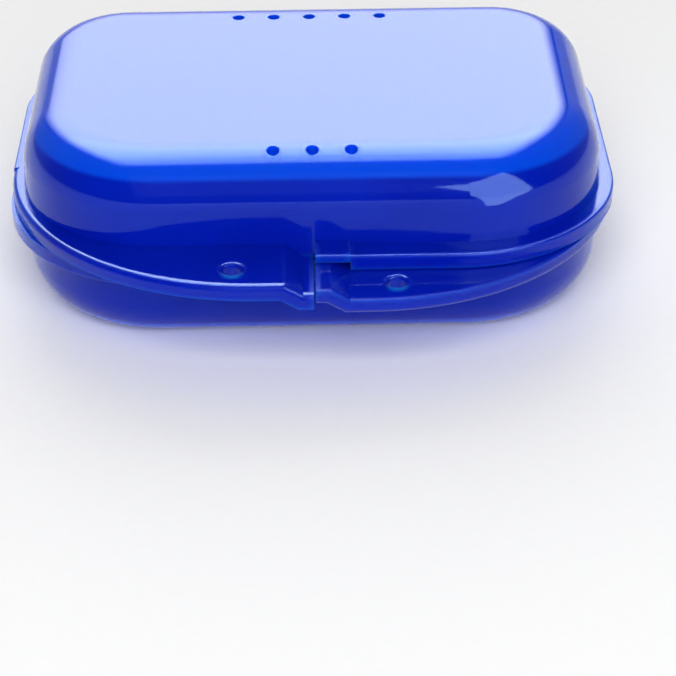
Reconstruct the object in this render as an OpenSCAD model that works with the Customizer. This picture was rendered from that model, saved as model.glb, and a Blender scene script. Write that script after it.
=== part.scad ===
// Clamshell case for a dental retainer: two moulded halves of one shape, hinged at the back.
// The base is the lid turned half a turn about the front to back axis.
// Lengths are in millimetres, and the origin is under the middle of the closed case.

/* [Domes] */
// Width of a dome at the parting plane
dome_w = 77.6; // [70:0.1:95]
// Depth of a dome at the parting plane, from front to back
dome_d = 54.7; // [46:0.1:64]
// Height of the closed case
case_h = 26.6; // [22:0.1:40]
// Plan radius of a dome's front corners
front_corner_r = 18.9; // [14:0.1:24]
// Plan radius of a dome's back corners
back_corner_r = 13.2; // [10:0.1:18]
// Thickness of the moulded walls
wall = 1.6; // [1.2:0.1:2.2]
// Lean of the dome's walls from upright, in degrees
draft = 4; // [2:0.5:12]
// Radius of the shoulder between a dome's walls and its plate
shoulder_r = 7; // [3:0.1:9]

/* [Flanges] */
// Thickness of the flange round each half
flange_t = 2; // [1.6:0.1:2.6]
// Reach of the flange beyond the dome at the sides and back
rim_w = 1.7; // [0.8:0.1:2.6]
// Reach of the narrow half of the front flange beyond the dome
ridge_w = 3.1; // [1.5:0.1:4.5]
// Reach of the wide half of the front flange beyond the dome
grip_w = 10.5; // [8:0.1:13]
// Half length of the wide flange's straight front edge
grip_flat = 7.3; // [6:0.1:14]
// Rounding of the wide flange's outer edge
grip_edge_r = 0.9; // [0.3:0.1:1.2]
// Rounding of the outer edge of the narrow flange and of the rims
rim_edge_r = 0.3; // [0.1:0.1:0.8]
// Gap between the closed halves
parting_gap = 0.2; // [0.1:0.05:0.4]

/* [Latch] */
// Step of the wide flange's tab towards the other half
tab_drop = 1.4; // [0.8:0.1:1.6]
// Run of the tab's ramp along the front
ramp_run = 2.3; // [2:0.1:4]
// Length of the flat end of the tab
tab_flat = 1.3; // [0.8:0.1:3]
// Gap between the tabs, and from a tab to the other half's wall
tab_gap = 0.3; // [0.2:0.05:0.5]
// Thickness of the narrow flange's raised block
block_t = 1; // [0.9:0.1:2]
// Reach of the raised block beyond the flange
block_out = 0.6; // [0.2:0.1:1.5]
// Room between the block's end and the foot of the other half's ramp
block_room = 0.3; // [0.2:0.1:1]

/* [Holes] */
// Diameter of the air holes in each plate
vent_d = 1.7; // [1:0.1:2.5]
// Spacing of the air holes in a row
vent_pitch = 5; // [3.5:0.1:6]
// Number of air holes in the back row
back_vents = 5; // [1:1:7]
// Number of air holes in the front row
front_vents = 3; // [1:1:5]
// Distance of the front row from the dome's front
front_vent_in = 5.3; // [4:0.1:12]
// Distance of the back row from the dome's back
back_vent_in = 8.5; // [4:0.1:12]
// Diameter of the hole in each wide flange
grip_hole_d = 2.6; // [1.5:0.1:3.2]
// Distance of that hole from the middle of the front
grip_hole_x = 10.4; // [8:0.1:14]
// Distance of that hole from the flange's front edge
grip_hole_in = 4.7; // [3:0.1:7]
// Rounding of that hole's rims
hole_rim_r = 0.5; // [0.1:0.05:0.75]

/* [Hinge] */
// Diameter of the hinge knuckles
knuckle_d = 4.4; // [4:0.1:6]
// Diameter of the hinge pins
pin_d = 2; // [1.2:0.1:2.4]
// Length of the middle knuckle of each hinge
knuckle_l = 6; // [4:0.1:10]
// Length of the two ears of each hinge
ear_l = 3; // [2:0.1:5]
// Gap between a middle knuckle and its ears
knuckle_gap = 0.3; // [0.2:0.05:0.6]
// Distance of each hinge from the middle of the back
hinge_x = 17; // [12:0.1:22]
// Gap between the knuckles and the flange in front of them
hinge_gap = 0.4; // [0.3:0.05:1]
// Running clearance of a middle knuckle round its pin, on the radius
pin_clearance = 0.05; // [0.02:0.01:0.1]

/* [Hidden] */
$fn = 96;
cut_over = 1;
// Excess of the shoulder's arc, so that it crosses the straight faces and doesn't only touch them
arc_lap = 0.002;
half_h = case_h / 2;

case_w = dome_w + 2 * rim_w;
case_d = grip_w + dome_d + rim_w + hinge_gap + knuckle_d;
front_y = -case_d / 2;
dome_front = front_y + grip_w;
dome_back = dome_front + dome_d;
axis_y = dome_back + rim_w + hinge_gap + knuckle_d / 2;

// Each half is drawn as the lid, with the parting plane at z = 0
rim_z = parting_gap / 2;
flange_top = rim_z + flange_t;

// Centres of the plan corners on the right-hand side
front_c = [dome_w / 2 - front_corner_r, dome_front + front_corner_r];
back_c = [dome_w / 2 - back_corner_r, dome_back - back_corner_r];
grip_corner_r = case_w / 2 - grip_flat;
grip_c = [grip_flat, front_y + grip_corner_r];
ridge_corner_r = front_corner_r + ridge_w;
ridge_c = [case_w / 2 - ridge_corner_r, dome_front - ridge_w + ridge_corner_r];
rim_corner_r = back_corner_r + rim_w;

// The dome's wall in section: inward distance from the outline at z = 0, and height
wall_in = [cos(draft), -sin(draft)];
shoulder_z = half_h - shoulder_r;
shoulder_c = [(shoulder_r + shoulder_z * sin(draft)) / cos(draft), shoulder_z];

// The tab's ramp, whose outer face runs from head to foot. Its inner face lies mitre_w further out.
ramp_foot = tab_gap / 2 + tab_flat;
ramp_head = ramp_foot + ramp_run;
ramp_angle = atan(tab_drop / ramp_run);
ramp_len = ramp_run / cos(ramp_angle);
mitre_w = flange_t * tan(ramp_angle / 2);
tab_top = flange_top - tab_drop;
tab_reach = grip_w + wall / 2;
block_end = ramp_head + mitre_w + block_room;

pin_l = knuckle_l + 2 * (knuckle_gap + ear_l);

// Quarter turn of a section whose first axis points inward to the corner's centre
module corner(turn, r) {
    rotate([0, 0, turn])
        rotate_extrude(angle = 90)
            intersection() {
                translate([r, 0])
                    mirror([1, 0])
                        children();
                translate([0, -case_h])
                    square([2 * r, 2 * case_h]);
            }
}

// Straight run of a section: along +X with inward +Y, then turned about +Z
module run(turn, length) {
    rotate([0, 0, turn])
        rotate([90, 0, 90])
            linear_extrude(length)
                children();
}

// Sweeps a section round the dome's plan. The section fills inward as far as $reach.
module round_plan() {
    for (side = [0, 1])
        mirror([side, 0, 0]) {
            translate(front_c)
                corner(270, front_corner_r)
                    let ($reach = front_corner_r)
                        children();
            translate([dome_w / 2, front_c.y])
                run(90, back_c.y - front_c.y)
                    let ($reach = back_corner_r)
                        children();
            translate(back_c)
                corner(0, back_corner_r)
                    let ($reach = back_corner_r)
                        children();
        }
    translate([-front_c.x, dome_front])
        run(0, 2 * front_c.x)
            let ($reach = front_corner_r)
                children();
    translate([back_c.x, dome_back])
        run(180, 2 * back_c.x)
            let ($reach = back_corner_r)
                children();
}

// Fills the middle that a sweep round the plan leaves open, from z0 to z1
module plan_middle(z0, z1) {
    translate([-back_c.x, front_c.y, z0])
        cube([2 * back_c.x, back_c.y - front_c.y, z1 - z0]);
}

// Section under the dome's outer face, or under the face that lies skin deeper
module dome_section(skin, low, reach) {
    top = half_h - skin;
    skin_in = skin / cos(draft);
    up = [0, 2 * shoulder_r];
    out = -2 * shoulder_r * wall_in;
    difference() {
        polygon([
            [skin_in + low * tan(draft), low],
            [skin_in + top * tan(draft), top],
            [reach, top],
            [reach, low]
        ]);
        difference() {
            polygon([shoulder_c, shoulder_c + out, shoulder_c + out + up, shoulder_c + up]);
            translate(shoulder_c)
                circle(shoulder_r - skin + arc_lap);
        }
    }
}

// Walls, shoulder and plate of one half
module dome() {
    round_plan()
        difference() {
            dome_section(0, rim_z, $reach);
            dome_section(wall, rim_z - cut_over, $reach + cut_over);
        }
    plan_middle(half_h - wall, half_h);
}

// Inside of the flange, whose edge lies within the dome's walls
module flange_core() {
    low = rim_z - cut_over;
    high = flange_top + cut_over;
    round_plan()
        translate([wall / 2, low])
            square([$reach - wall / 2, high - low]);
    plan_middle(low, high);
}

// Section of the flange with its outer edge rounded on the dome's side
module flange_section(reach, t = flange_t, r = rim_edge_r) {
    translate([r, 0])
        square([reach - r, t]);
    square([r, t - r]);
    intersection() {
        translate([r, t - r])
            circle(r);
        translate([0, t - r])
            square(r);
    }
}

// Flange round the sides and back, the wide grip on the left and the narrow ridge on the right
module flange() {
    translate([0, 0, rim_z]) {
        translate([-grip_c.x, grip_c.y])
            corner(180, grip_corner_r)
                flange_section(grip_corner_r, flange_t, grip_edge_r);
        translate([-case_w / 2, back_c.y])
            run(270, back_c.y - grip_c.y)
                flange_section(rim_corner_r);
        translate([-back_c.x, back_c.y])
            corner(90, rim_corner_r)
                flange_section(rim_corner_r);
        translate([back_c.x, dome_back + rim_w])
            run(180, 2 * back_c.x)
                flange_section(rim_corner_r);
        translate(back_c)
            corner(0, rim_corner_r)
                flange_section(rim_corner_r);
        translate([case_w / 2, ridge_c.y])
            run(90, back_c.y - ridge_c.y)
                flange_section(rim_corner_r);
        translate(ridge_c)
            corner(270, ridge_corner_r)
                flange_section(ridge_corner_r);
        translate([block_end, dome_front - ridge_w])
            run(0, ridge_c.x - block_end)
                flange_section(ridge_corner_r);
    }
    grip_bar(-grip_c.x, -ramp_head - mitre_w / 2, flange_top, flange_t, grip_corner_r);
}

// Straight stretch of the grip from x0 to x1, with its outer face at the height top
module grip_bar(x0, x1, top, t, reach) {
    translate([x0, front_y, top - t])
        run(0, x1 - x0)
            flange_section(reach, t, grip_edge_r);
}

// Sloping stretch of the grip, which runs on into the flat ones at both ends
module ramp() {
    intersection() {
        translate([-ramp_head, front_y, flange_top])
            rotate([0, ramp_angle, 0])
                translate([-flange_t, 0, -flange_t])
                    run(0, ramp_len + 2 * flange_t)
                        flange_section(tab_reach, flange_t, grip_edge_r);
        grip_bar(-2 * ramp_head, tab_flat / 2 - ramp_foot, flange_top, flange_t + tab_drop, tab_reach);
    }
}

// Ramp and tab at the end of the grip, which reach past the parting plane clear of the other dome
module tab() {
    difference() {
        union() {
            ramp();
            grip_bar(-ramp_foot - mitre_w / 2, -tab_gap / 2, tab_top, flange_t, tab_reach);
        }
        translate([-2 * ramp_head, dome_front - tab_gap, -flange_t])
            cube([2 * ramp_head, wall + tab_gap, flange_t + rim_z]);
    }
}

// Raised end of the narrow flange, which clears the other half's tab
module block() {
    reach = block_out + ridge_w + wall;
    translate([tab_gap / 2, dome_front - ridge_w - block_out, rim_z + tab_drop])
        run(0, block_end - tab_gap / 2)
            flange_section(reach, block_t);
}

// Knuckle on the hinge axis with its arm to the flange
module knuckle(x, length) {
    arm_from = dome_back - wall / 2;
    translate([x - length / 2, axis_y, 0])
        rotate([0, 90, 0])
            cylinder(d = knuckle_d, h = length);
    translate([x - length / 2, arm_from, rim_z])
        cube([length, axis_y - arm_from, flange_t]);
}

// Cylinder on the hinge axis
module hinge_rod(x, length, d) {
    translate([x - length / 2, axis_y, 0])
        rotate([0, 90, 0])
            cylinder(d = d, h = length);
}

// One row of air holes across the plate, deep enough to pass through the shoulder too
module vents(count, y) {
    for (i = [0 : count - 1])
        translate([(i - (count - 1) / 2) * vent_pitch, y, shoulder_z])
            cylinder(d = vent_d, h = shoulder_r + cut_over);
}

// Widening of the grip's hole at one face, which leaves a rounded rim
module hole_rim() {
    r = grip_hole_d / 2 + hole_rim_r;
    rotate_extrude()
        difference() {
            translate([0, -hole_rim_r])
                square([r, hole_rim_r + cut_over]);
            translate([r, -hole_rim_r])
                circle(hole_rim_r);
        }
}

module grip_hole() {
    translate([-grip_hole_x, front_y + grip_hole_in, 0]) {
        translate([0, 0, rim_z - cut_over])
            cylinder(d = grip_hole_d, h = flange_t + 2 * cut_over);
        translate([0, 0, flange_top])
            hole_rim();
        translate([0, 0, rim_z])
            mirror([0, 0, 1])
                hole_rim();
    }
}

// One moulded half: ears on the right-hand hinge, middle knuckle on the left-hand one
module half_shell() {
    ear_step = (knuckle_l + ear_l) / 2 + knuckle_gap;
    difference() {
        union() {
            dome();
            difference() {
                flange();
                flange_core();
            }
            tab();
            block();
            for (step = [-ear_step, ear_step])
                knuckle(hinge_x + step, ear_l);
            knuckle(-hinge_x, knuckle_l);
        }
        hinge_rod(hinge_x, pin_l + 2 * cut_over, pin_d);
        hinge_rod(-hinge_x, knuckle_l + 2 * cut_over, pin_d + 2 * pin_clearance);
        vents(front_vents, dome_front + front_vent_in);
        vents(back_vents, dome_back - back_vent_in);
        grip_hole();
    }
}

module lid() {
    color("mediumblue")
        translate([0, 0, half_h])
            half_shell();
}

module base() {
    color("mediumblue")
        translate([0, 0, half_h])
            rotate([0, 180, 0])
                half_shell();
}

module lid_hinge_pin() {
    color("royalblue")
        translate([0, 0, half_h])
            hinge_rod(hinge_x, pin_l, pin_d);
}

module base_hinge_pin() {
    color("royalblue")
        translate([0, 0, half_h])
            hinge_rod(-hinge_x, pin_l, pin_d);
}

base();
lid();
base_hinge_pin();
lid_hinge_pin();
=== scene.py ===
"""Looks of the retainer case: translucent blue moulded halves on a white table."""

import math

import bmesh
import bpy
from mathutils import Matrix, Vector


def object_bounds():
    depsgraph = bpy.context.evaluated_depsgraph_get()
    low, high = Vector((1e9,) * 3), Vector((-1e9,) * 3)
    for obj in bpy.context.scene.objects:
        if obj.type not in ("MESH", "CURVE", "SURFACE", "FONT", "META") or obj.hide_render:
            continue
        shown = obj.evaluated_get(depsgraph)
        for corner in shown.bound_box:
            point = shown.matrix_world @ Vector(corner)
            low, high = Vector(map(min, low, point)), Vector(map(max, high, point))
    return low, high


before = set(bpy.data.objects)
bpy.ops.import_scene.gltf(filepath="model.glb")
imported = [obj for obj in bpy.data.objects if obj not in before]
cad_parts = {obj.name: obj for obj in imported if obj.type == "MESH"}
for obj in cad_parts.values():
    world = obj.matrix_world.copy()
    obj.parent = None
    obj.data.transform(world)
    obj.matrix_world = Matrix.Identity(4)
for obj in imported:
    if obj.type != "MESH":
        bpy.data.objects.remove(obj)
cad_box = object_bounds()

MM = 0.001
HALF_HEIGHT = (cad_box[1][2] - cad_box[0][2]) / 2
TABLE_HALF = 1.5
IMAGE_PX = 676
SENSOR_MM = 36.0

# Photograph's camera: lens in pixels, place in millimetres, turn in degrees
LENS_PX = 2319.9
CAMERA_MM = Vector((-1.1, -283.95, 160.8))
CAMERA_AZIMUTH = 0.903
CAMERA_DOWN = 31.659
CAMERA_ROLL = -0.522

# Width of one wave or mark in the materials
SHRINK_WAVE_MM = 14
HANDLING_MARK_MM = 0.6
DRAW_LINE_MM = 0.3
TABLE_GRAIN_MM = 2

# Azure glow painted into the plastic's colour, from where it starts to where it is full: depth below the
# outside of a plate, and distance sideways from the middle of the case
PAINTED_PLATE_GLOW_MM = (3.1, 2.4)
PAINTED_END_GLOW_MM = (33, 40.5)
THIN_EDGE_MM = 1.0
# Share of painted azure glow at the two ends and on thin edges
PAINTED_GLOW_SHARE = 0.6
# Middle of the painted glow at the front rim of each grip hole, with its distance sideways whichever side
# it is on, and how far out the painted glow is still full and has faded
PAINTED_HOLE_GLOW_MM = Vector((10.4, -32.4, 0))
PAINTED_HOLE_GLOW_REACH_MM = (0.8, 1.7)

# Roughness of the plastic between and on its handling marks, and what worn edges add
GLOSS = (0.06, 0.1)
EDGE_WEAR = 0.22

# Big softbox: middle's rise and turn from straight behind in degrees, distance, half sides in metres,
# and its glow along its height from the lower rim (-1) to the upper one (1)
SOFTBOX_AIM = Vector((0, 0, 0.026))
SOFTBOX_RISE = 53.0
SOFTBOX_TURN = -6.0
SOFTBOX_AWAY = 0.6
SOFTBOX_HALF = Vector((0.45, 0.6))
SOFTBOX_GLOW = (
    (-1.0, 2.0), (-0.81, 3.3), (-0.55, 5.5), (-0.18, 9.6),
    (0.23, 14.5), (0.55, 12.0), (0.9, 6.0), (1.0, 2.2),
)
GLOW_CURVE_TOP = 30.0

# Light of the room from its front and from behind the case, and the share of it on both sides
ROOM_FRONT = 0.12
ROOM_BACK = 0.8
ROOM_SIDE_SHARE = 0.25


def linear(code):
    """Linear red, green, blue and alpha of an sRGB hex colour."""
    parts = [int(code[i:i + 2], 16) / 255 for i in (0, 2, 4)]
    return [c / 12.92 if c <= 0.04045 else ((c + 0.055) / 1.055) ** 2.4 for c in parts] + [1.0]


def add(tree, kind, links=None, **settings):
    """Adds a node. Settings are its properties or, where it has none of that name, its sockets."""
    node = tree.nodes.new(kind)
    for key, value in settings.items():
        if hasattr(node, key):
            setattr(node, key, value)
        else:
            node.inputs[key.replace("_", " ")].default_value = value
    for socket, source in (links or {}).items():
        tree.links.new(source, node.inputs[socket])
    return node


def new_material(name):
    """An empty material with its output node."""
    material = bpy.data.materials.new(name)
    material.use_nodes = True
    material.node_tree.nodes.clear()
    return material, material.node_tree, material.node_tree.nodes.new("ShaderNodeOutputMaterial")


def blue_polypropylene():
    """Polypropylene, injection moulded in a polished mould and tinted blue. The surface is glossy, with a
    slight waviness where the wall shrank, and a little duller on worn edges. The tint is deep in the walls.
    A lighter azure is painted into the colour, a painted glow where light would pass through the plates or
    leave at the two ends, the thin edges and the grip holes."""
    material, tree, output = new_material("translucent_blue_polypropylene")
    place = add(tree, "ShaderNodeTexCoord")
    waves = add(
        tree, "ShaderNodeTexNoise", {"Vector": place.outputs["Object"]},
        Scale=1 / (SHRINK_WAVE_MM * MM), Detail=1.0,
    )
    marks = add(
        tree, "ShaderNodeTexNoise", {"Vector": place.outputs["Object"]},
        Scale=1 / (HANDLING_MARK_MM * MM), Detail=4.0,
    )
    tint = add(tree, "ShaderNodeValToRGB", {"Fac": waves.outputs["Fac"]})
    tint.color_ramp.elements[0].position = 0.3
    tint.color_ramp.elements[0].color = linear("021cb6")
    tint.color_ramp.elements[1].position = 0.7
    tint.color_ramp.elements[1].color = linear("0222c0")
    # Height above or below the parting plane, where the shoulders turn into the plates
    centred = add(
        tree, "ShaderNodeMapping", {"Vector": place.outputs["Object"]},
        Location=(0, 0, -HALF_HEIGHT),
    )
    axes = add(tree, "ShaderNodeSeparateXYZ", {"Vector": centred.outputs["Vector"]})
    height = add(tree, "ShaderNodeMath", {0: axes.outputs["Z"]}, operation="ABSOLUTE")
    # Painted glow: a lighter azure painted on the plates and the tops of the shoulders
    lit = add(
        tree, "ShaderNodeMapRange", {"Value": height.outputs["Value"]},
        interpolation_type="SMOOTHSTEP",
        From_Min=HALF_HEIGHT - PAINTED_PLATE_GLOW_MM[0] * MM,
        From_Max=HALF_HEIGHT - PAINTED_PLATE_GLOW_MM[1] * MM,
    )
    plates = add(
        tree, "ShaderNodeMix", {"Factor": lit.outputs["Result"], "A": tint.outputs["Color"]},
        data_type="RGBA", B=linear("0353ee"),
    )
    # Painted glow: a lighter azure painted at the case's two ends, where light would leave it
    aside = add(tree, "ShaderNodeMath", {0: axes.outputs["X"]}, operation="ABSOLUTE")
    ends = add(
        tree, "ShaderNodeMapRange", {"Value": aside.outputs["Value"]},
        interpolation_type="SMOOTHSTEP",
        From_Min=PAINTED_END_GLOW_MM[0] * MM, From_Max=PAINTED_END_GLOW_MM[1] * MM, To_Max=PAINTED_GLOW_SHARE,
    )
    sides = add(
        tree, "ShaderNodeMix", {"Factor": ends.outputs["Result"], "A": plates.outputs["Result"]},
        data_type="RGBA", B=linear("0a62ee"),
    )
    # Thin edges, where rays sent into the plastic soon leave it again; a painted azure glow goes on them
    inner = add(
        tree, "ShaderNodeAmbientOcclusion",
        samples=8, inside=True, only_local=True, Distance=THIN_EDGE_MM * MM,
    )
    thin = add(
        tree, "ShaderNodeMapRange", {"Value": inner.outputs["AO"]},
        interpolation_type="SMOOTHSTEP", From_Min=0.7, From_Max=0.4, To_Max=PAINTED_GLOW_SHARE,
    )
    edges = add(
        tree, "ShaderNodeMix", {"Factor": thin.outputs["Result"], "A": sides.outputs["Result"]},
        data_type="RGBA", B=linear("0a5cd0"),
    )
    # Painted glow round the grip holes, most at their front rims
    plan = add(tree, "ShaderNodeCombineXYZ", {"X": aside.outputs["Value"], "Y": axes.outputs["Y"]})
    reach = add(tree, "ShaderNodeVectorMath", {0: plan.outputs["Vector"]}, operation="DISTANCE")
    reach.inputs[1].default_value = PAINTED_HOLE_GLOW_MM * MM
    painted_hole_glow_mask = add(
        tree, "ShaderNodeMapRange", {"Value": reach.outputs["Value"]},
        interpolation_type="SMOOTHSTEP",
        From_Min=PAINTED_HOLE_GLOW_REACH_MM[0] * MM, From_Max=PAINTED_HOLE_GLOW_REACH_MM[1] * MM,
        To_Min=1.0, To_Max=0.0,
    )
    rims = add(
        tree, "ShaderNodeMix", {"Factor": painted_hole_glow_mask.outputs["Result"], "A": edges.outputs["Result"]},
        data_type="RGBA", B=linear("1678d8"),
    )
    # Edges are worn a little duller than the faces
    worn = add(
        tree, "ShaderNodeMapRange", {"Value": inner.outputs["AO"]},
        From_Min=0.97, From_Max=0.75, To_Max=EDGE_WEAR,
    )
    gloss = add(
        tree, "ShaderNodeMapRange", {"Value": marks.outputs["Fac"]},
        From_Min=0.35, From_Max=0.75, To_Min=GLOSS[0], To_Max=GLOSS[1],
    )
    rough = add(
        tree, "ShaderNodeMath", {0: gloss.outputs["Result"], 1: worn.outputs["Result"]},
        operation="ADD",
    )
    ripple = add(
        tree, "ShaderNodeBump", {"Height": waves.outputs["Fac"]},
        Strength=0.05, Distance=0.2 * MM,
    )
    shader = add(
        tree,
        "ShaderNodeBsdfPrincipled",
        {
            "Base Color": rims.outputs["Result"],
            "Roughness": rough.outputs["Value"],
            "Normal": ripple.outputs["Normal"],
        },
        IOR=1.49,
        Transmission_Weight=0.3,
        Subsurface_Weight=0.6,
        Subsurface_Scale=1.5 * MM,
        Subsurface_Radius=(0.1, 0.35, 1.0),
        Specular_Tint=(0.36, 0.6, 1.0, 1.0),
    )
    tree.links.new(shader.outputs["BSDF"], output.inputs["Surface"])
    return material


def pin_nylon():
    """Nylon rod, drawn and cut to length: solid blue with a satin surface and faint lines along the rod."""
    material, tree, output = new_material("drawn_blue_nylon")
    place = add(tree, "ShaderNodeTexCoord")
    # Draw lines, stretched along the rod
    stretch = add(
        tree, "ShaderNodeMapping", {"Vector": place.outputs["Object"]}, Scale=(0.05, 1.0, 1.0)
    )
    lines = add(
        tree, "ShaderNodeTexNoise", {"Vector": stretch.outputs["Vector"]},
        Scale=1 / (DRAW_LINE_MM * MM), Detail=2.0,
    )
    tint = add(tree, "ShaderNodeValToRGB", {"Fac": lines.outputs["Fac"]})
    tint.color_ramp.elements[0].color = linear("1230a0")
    tint.color_ramp.elements[1].color = linear("2246c4")
    shader = add(
        tree, "ShaderNodeBsdfPrincipled", {"Base Color": tint.outputs["Color"]},
        IOR=1.53, Roughness=0.32,
    )
    tree.links.new(shader.outputs["BSDF"], output.inputs["Surface"])
    return material


def paint(node, material):
    """Gives a CAD node its material."""
    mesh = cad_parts[node].data
    mesh.materials.clear()
    mesh.materials.append(material)


def flat_sheet(name, half_width, half_height, material):
    """Flat rectangle round the origin, for what stands about the case."""
    shape = bmesh.new()
    bmesh.ops.create_grid(shape, x_segments=1, y_segments=1, size=1.0)
    bmesh.ops.scale(shape, vec=(half_width, half_height, 1.0), verts=shape.verts)
    mesh = bpy.data.meshes.new(name)
    shape.to_mesh(mesh)
    shape.free()
    mesh.materials.append(material)
    sheet = bpy.data.objects.new(name, mesh)
    bpy.context.scene.collection.objects.link(sheet)
    return sheet


def white_table():
    """Table of matt white laminate, which takes the case's shadow."""
    material, tree, output = new_material("matt_white_laminate")
    place = add(tree, "ShaderNodeTexCoord")
    grain = add(
        tree, "ShaderNodeTexNoise", {"Vector": place.outputs["Object"]},
        Scale=1 / (TABLE_GRAIN_MM * MM), Detail=2.0,
    )
    tint = add(tree, "ShaderNodeValToRGB", {"Fac": grain.outputs["Fac"]})
    tint.color_ramp.elements[0].color = linear("fafafa")
    tint.color_ramp.elements[1].color = linear("fefefe")
    shader = add(
        tree, "ShaderNodeBsdfPrincipled", {"Base Color": tint.outputs["Color"]},
        Roughness=0.9, Specular_IOR_Level=0.0,
    )
    tree.links.new(shader.outputs["BSDF"], output.inputs["Surface"])
    return material


def make_table():
    """Flat table under the case."""
    table = flat_sheet("table", TABLE_HALF, TABLE_HALF, white_table())


def softbox_cloth():
    """Diffusing cloth of the big softbox: brightest above its middle, and fading towards all its rims."""
    material, tree, output = new_material("softbox_cloth")
    place = add(tree, "ShaderNodeTexCoord")
    span = add(
        tree, "ShaderNodeMapping", {"Vector": place.outputs["Object"]},
        Scale=(1 / SOFTBOX_HALF.x, 1 / SOFTBOX_HALF.y, 1.0),
    )
    axes = add(tree, "ShaderNodeSeparateXYZ", {"Vector": span.outputs["Vector"]})
    along = add(tree, "ShaderNodeFloatCurve", {"Value": axes.outputs["Y"]})
    curve = along.mapping.curves[0]
    along.mapping.clip_min_x = -1.0
    along.mapping.clip_max_y = GLOW_CURVE_TOP
    along.mapping.use_clip = True
    # A new curve already has two points
    for point, (where, bright) in zip(curve.points, SOFTBOX_GLOW[:2]):
        point.location = (where, bright)
    for where, bright in SOFTBOX_GLOW[2:]:
        curve.points.new(where, bright)
    along.mapping.update()
    off_middle = add(tree, "ShaderNodeMath", {0: axes.outputs["X"]}, operation="ABSOLUTE")
    side = add(
        tree, "ShaderNodeMapRange", {"Value": off_middle.outputs["Value"]},
        interpolation_type="SMOOTHSTEP", From_Min=0.55, From_Max=1.0, To_Min=1.0, To_Max=0.0,
    )
    glow = add(
        tree, "ShaderNodeMath", {0: along.outputs["Value"], 1: side.outputs["Result"]},
        operation="MULTIPLY",
    )
    cloth = add(
        tree, "ShaderNodeEmission", {"Strength": glow.outputs["Value"]}, Color=linear("f6f9ff")
    )
    tree.links.new(cloth.outputs["Emission"], output.inputs["Surface"])
    return material


def make_softbox():
    """Big softbox above and behind the case, which shows only in gloss."""
    softbox = flat_sheet("softbox", SOFTBOX_HALF.x, SOFTBOX_HALF.y, softbox_cloth())
    rise = math.radians(SOFTBOX_RISE)
    turn = math.radians(SOFTBOX_TURN)
    away = Vector(
        (math.sin(turn) * math.cos(rise), math.cos(turn) * math.cos(rise), math.sin(rise))
    )
    level = Vector((math.cos(turn), -math.sin(turn), 0))
    frame_turn = Matrix((level, level.cross(away), -away)).transposed().to_4x4()
    softbox.matrix_world = Matrix.Translation(SOFTBOX_AIM + SOFTBOX_AWAY * away) @ frame_turn
    softbox.visible_camera = False
    softbox.visible_diffuse = False
    softbox.visible_shadow = False


def area_light(name, place_mm, aim_mm, width_mm, height_mm, roll, bright):
    """Evenly lit rectangle at a place, turned towards its aim. It is hidden from the camera, and its
    brightness is its radiance."""
    lamp = bpy.data.lights.new(name, "AREA")
    lamp.shape = "RECTANGLE"
    lamp.size = width_mm * MM
    lamp.size_y = height_mm * MM
    # A flat lamp's radiance is its power over its area and pi
    lamp.energy = bright * math.pi * lamp.size * lamp.size_y
    holder = bpy.data.objects.new(name, lamp)
    bpy.context.scene.collection.objects.link(holder)
    place = Vector(place_mm) * MM
    turn = (Vector(aim_mm) * MM - place).to_track_quat("-Z", "Y").to_matrix().to_4x4()
    spin = Matrix.Rotation(math.radians(roll), 4, "Z")
    holder.matrix_world = Matrix.Translation(place) @ turn @ spin
    holder.visible_camera = False
    return holder


def make_lights():
    """Window whose highlight shows on the front shoulder, only in gloss, and front and back lights that
    light only matt surfaces."""
    window = area_light(
        "front_window", place_mm=(39.2, -53.7, 31.4), aim_mm=(23, -24.1, 22.2),
        width_mm=33.3, height_mm=37.5, roll=23.3, bright=6.0,
    )
    window.visible_diffuse = False
    front = area_light(
        "front_light", place_mm=(0, -900, 700), aim_mm=(0, 0, 0),
        width_mm=900, height_mm=900, roll=0, bright=5.4,
    )
    front.visible_glossy = False
    back = area_light(
        "back_light", place_mm=(0, 1000, 700), aim_mm=(0, 0, 0),
        width_mm=900, height_mm=900, roll=0, bright=1.5,
    )
    back.visible_glossy = False


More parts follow.
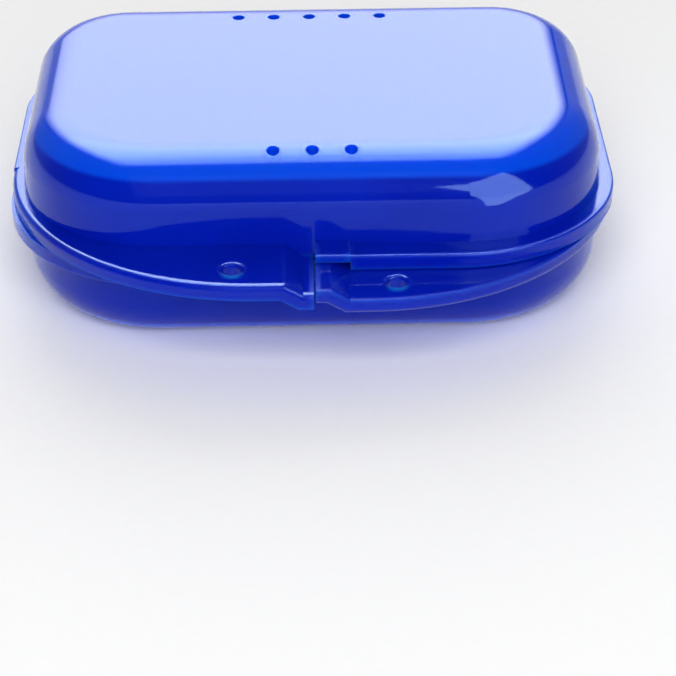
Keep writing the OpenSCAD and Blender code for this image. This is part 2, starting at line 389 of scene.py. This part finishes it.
def make_world():
    """Pale room: lightest behind the case, and dimmer in front and on both sides."""
    world = bpy.data.worlds.new("pale_room")
    world.use_nodes = True
    bpy.context.scene.world = world
    tree = world.node_tree
    tree.nodes.clear()
    place = add(tree, "ShaderNodeTexCoord")
    axes = add(tree, "ShaderNodeSeparateXYZ", {"Vector": place.outputs["Generated"]})
    depth = add(
        tree, "ShaderNodeMapRange", {"Value": axes.outputs["Y"]},
        interpolation_type="SMOOTHSTEP",
        From_Min=-0.6, From_Max=0.5, To_Min=ROOM_FRONT, To_Max=ROOM_BACK,
    )
    aside = add(tree, "ShaderNodeMath", {0: axes.outputs["X"]}, operation="ABSOLUTE")
    side = add(
        tree, "ShaderNodeMapRange", {"Value": aside.outputs["Value"]},
        interpolation_type="SMOOTHSTEP",
        From_Min=0.0, From_Max=0.7, To_Min=1.0, To_Max=ROOM_SIDE_SHARE,
    )
    level = add(
        tree, "ShaderNodeMath", {0: depth.outputs["Result"], 1: side.outputs["Result"]},
        operation="MULTIPLY",
    )
    room = add(
        tree, "ShaderNodeBackground", {"Strength": level.outputs["Value"]}, Color=linear("ffffff")
    )
    output = add(tree, "ShaderNodeOutputWorld")
    tree.links.new(room.outputs["Background"], output.inputs["Surface"])


def make_camera():
    """Camera at the photograph's place, turn and lens."""
    azimuth, down, roll = (math.radians(a) for a in (CAMERA_AZIMUTH, CAMERA_DOWN, CAMERA_ROLL))
    look = Vector(
        (math.sin(azimuth) * math.cos(down), math.cos(azimuth) * math.cos(down), -math.sin(down))
    )
    level = Vector((math.cos(azimuth), -math.sin(azimuth), 0))
    rise = level.cross(look)
    right = math.cos(roll) * level + math.sin(roll) * rise
    up = math.cos(roll) * rise - math.sin(roll) * level
    data = bpy.data.cameras.new("camera")
    data.sensor_width = SENSOR_MM
    data.lens = SENSOR_MM * LENS_PX / IMAGE_PX
    data.clip_start = 0.01
    camera = bpy.data.objects.new("camera", data)
    bpy.context.scene.collection.objects.link(camera)
    turn = Matrix((right, up, -look)).transposed().to_4x4()
    camera.matrix_world = Matrix.Translation(CAMERA_MM * MM) @ turn
    bpy.context.scene.camera = camera


shell = blue_polypropylene()
for half in ("base", "lid"):
    paint(half, shell)
pin = pin_nylon()
for rod in ("base_hinge_pin", "lid_hinge_pin"):
    paint(rod, pin)

make_table()
make_world()
make_camera()
make_softbox()
make_lights()
bpy.context.scene.view_settings.view_transform = "Standard"
